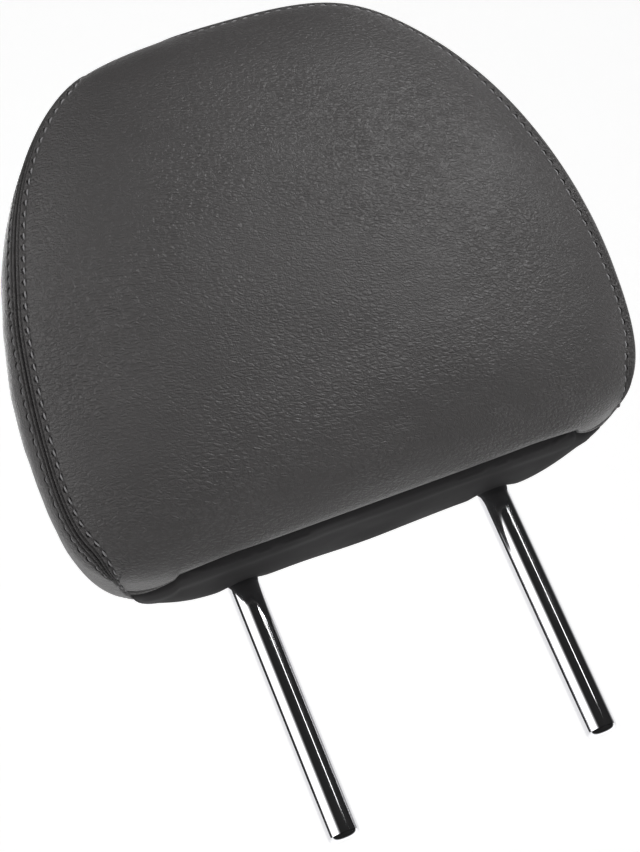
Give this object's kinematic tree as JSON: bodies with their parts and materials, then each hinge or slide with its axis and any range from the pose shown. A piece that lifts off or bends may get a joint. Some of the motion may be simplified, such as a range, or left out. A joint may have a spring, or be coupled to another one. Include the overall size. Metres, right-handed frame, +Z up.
{
  "type": "car seat headrest",
  "caption": "Padded leather headrest with a crowned face, twin-stitched side seams and two chromed posts that plug into a seat back.",
  "frame": {"origin": "midway between the two posts, in the plane of their lower ends", "axes": "+Z up along the posts, -Y the way the padded face looks, +X to the right of someone who looks at the face"},
  "size_m": [0.2624, 0.1347, 0.3297],
  "materials": {
    "leather": "fine-grained charcoal leather, satin",
    "underside": "smooth dull black cover material",
    "post": "bright chrome plate on steel tube",
    "foam": "moulded open-cell foam",
    "plastic": "black moulded plastic",
    "tape": "woven reinforcing tape",
    "screw": "zinc-plated steel"
  },
  "bodies": {
    "root": {"cover_face_panel": "leather", "cover_back_panel": "leather", "cover_underside_panel": "underside", "seam_tape": "tape", "closing_strip_underside": "plastic", "closing_strip_back": "plastic", "foam_pad": "foam", "post_frame": "post", "carrier_front": "plastic", "carrier_rear": "plastic", "carrier_screw_1": "screw", "carrier_screw_2": "screw", "carrier_screw_3": "screw", "carrier_screw_4": "screw"}
  },
  "joints": []
}
